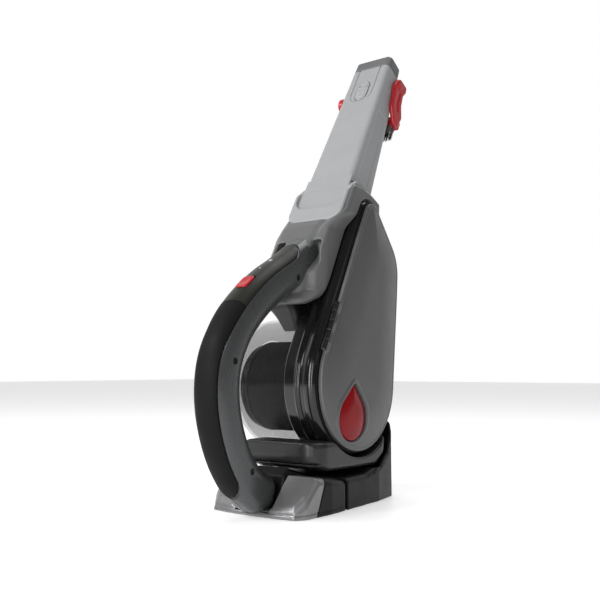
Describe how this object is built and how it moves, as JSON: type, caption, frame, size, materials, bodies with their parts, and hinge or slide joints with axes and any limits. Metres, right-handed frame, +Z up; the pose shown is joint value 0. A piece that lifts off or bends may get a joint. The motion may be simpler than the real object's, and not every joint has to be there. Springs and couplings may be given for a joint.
{
  "type": "handheld vacuum",
  "caption": "Cordless handheld vacuum standing in its charging dock, with a leaning sliding nozzle, open C handle and side-opening cyclone bowl.",
  "frame": {"origin": "centre of the dock's underside, on the surface it stands on", "axes": "+Z up; the handle faces -Y and the bowl door faces +X"},
  "size_m": [0.111, 0.2634, 0.4227],
  "materials": {
    "dock_dark_plastic": "fine texture",
    "dock_silver_plastic": "metallic satin",
    "body_grey_plastic": "satin",
    "nozzle_grey_plastic": "satin",
    "black_plastic": "fine texture",
    "bowl_dark_gloss": "polished smoke",
    "bowl_clear": "polished smoke",
    "black_rubber": "matt",
    "handle_metallic_grey": "metallic satin",
    "panel_olive_black": "soft touch",
    "red_plastic": "satin",
    "red_gloss": "translucent gloss",
    "lens_white": "frosted",
    "circuit_board": "solder mask",
    "cell_wrap": "shrink wrap",
    "gold_contact": "plated",
    "steel": "machined",
    "screen_mesh": "perforated",
    "filter_paper": "pleated",
    "door_grey_metallic": "metallic satin",
    "tip_dark_grey": "satin",
    "bristle": "nylon tufts"
  },
  "bodies": {
    "dock": {"dock_shell": "dock_dark_plastic", "dock_front_apron": "dock_silver_plastic", "dock_contact_block": "dock_dark_plastic", "dock_bottom_plate": "dock_dark_plastic", "dock_rubber_feet": "black_rubber", "dock_screws": "steel", "dock_contact_pins": "gold_contact", "dock_circuit_board": "circuit_board", "dock_power_inlet": "black_plastic"},
    "vacuum": {"neck_housing": "body_grey_plastic", "nozzle_collar": "nozzle_grey_plastic", "inner_duct": "black_plastic", "bowl_inlet": "black_plastic", "bowl_ring": "bowl_dark_gloss", "bowl_back_plate": "bowl_dark_gloss", "dust_bowl": "bowl_clear", "door_seal": "black_rubber", "lower_housing": "body_grey_plastic", "back_spine": "black_plastic", "handle_left_shell": "handle_metallic_grey", "handle_right_shell": "handle_metallic_grey", "handle_screws": "steel", "handle_front_panel": "panel_olive_black", "handle_rubber_grip": "black_rubber", "power_switch": "black_plastic", "button_spring": "steel", "indicator_lenses": "lens_white", "control_board": "circuit_board", "battery_cells": "cell_wrap", "charge_contacts": "gold_contact", "motor_pod": "black_plastic", "exhaust_filter": "filter_paper", "motor_can": "steel", "motor_mount": "black_rubber", "hinge_pin": "steel"},
    "flap": {"inlet_flap": "black_rubber"},
    "button": {"power_button": "red_plastic"},
    "filter": {"filter_screen": "screen_mesh", "pleated_filter": "filter_paper", "filter_end_cap": "black_plastic"},
    "rotor": {"motor_shaft": "steel", "fan_impeller": "black_plastic"},
    "door": {"bowl_door": "door_grey_metallic", "release_cup": "black_plastic", "release_spring": "steel"},
    "release": {"door_release": "red_gloss"},
    "nozzle": {"nozzle_tube": "nozzle_grey_plastic", "nozzle_tip_cap": "tip_dark_grey", "brush_pins": "steel"},
    "latch": {"nozzle_latch": "nozzle_grey_plastic"},
    "brush": {"brush_frame": "red_plastic", "brush_bristles": "bristle"}
  },
  "joints": [
    {"name": "undock", "type": "slide", "parent": "dock", "child": "vacuum", "axis": [0, 0, 1], "range_m": [0, 0.1]},
    {"name": "nozzle_slide", "type": "slide", "parent": "vacuum", "child": "nozzle", "axis": [0, 0.5, 0.866], "range_m": [0, 0.06]},
    {"name": "brush_flip", "type": "hinge", "parent": "nozzle", "child": "brush", "pos_m": [0, 0.1155, 0.39404], "axis": [1, 0, 0], "range_deg": [0, 165]},
    {"name": "nozzle_latch_press", "type": "slide", "parent": "nozzle", "child": "latch", "axis": [0, 0.866, -0.5], "range_m": [0, 0.0015], "stiffness_N_per_m": 600},
    {"name": "door_open", "type": "hinge", "parent": "vacuum", "child": "door", "pos_m": [0.0375, -0.02597, 0.14733], "axis": [0, -0.4531, -0.8915], "range_deg": [0, 100]},
    {"name": "door_release_press", "type": "slide", "parent": "door", "child": "release", "axis": [-1, 0, 0], "range_m": [0, 0.002], "stiffness_N_per_m": 600, "deforming": ["release_spring"]},
    {"name": "power_button_press", "type": "slide", "parent": "vacuum", "child": "button", "axis": [0, 0.6155, -0.7881], "range_m": [0, 0.0015], "stiffness_N_per_m": 500, "deforming": ["button_spring"]},
    {"name": "filter_twist", "type": "hinge", "parent": "vacuum", "child": "filter", "pos_m": [-0.024, 0.016, 0.097], "axis": [1, 0, 0], "range_deg": [0, 30]},
    {"name": "fan_spin", "type": "hinge", "parent": "vacuum", "child": "rotor", "pos_m": [-0.04, 0.016, 0.097], "axis": [1, 0, 0], "continuous": true},
    {"name": "inlet_flap_swing", "type": "hinge", "parent": "vacuum", "child": "flap", "pos_m": [-0.0084, 0.0245, 0.1504], "axis": [1, 0, 0], "range_deg": [0, 20], "stiffness_Nm_per_rad": 0.004, "springref_deg": -11.46}
  ]
}
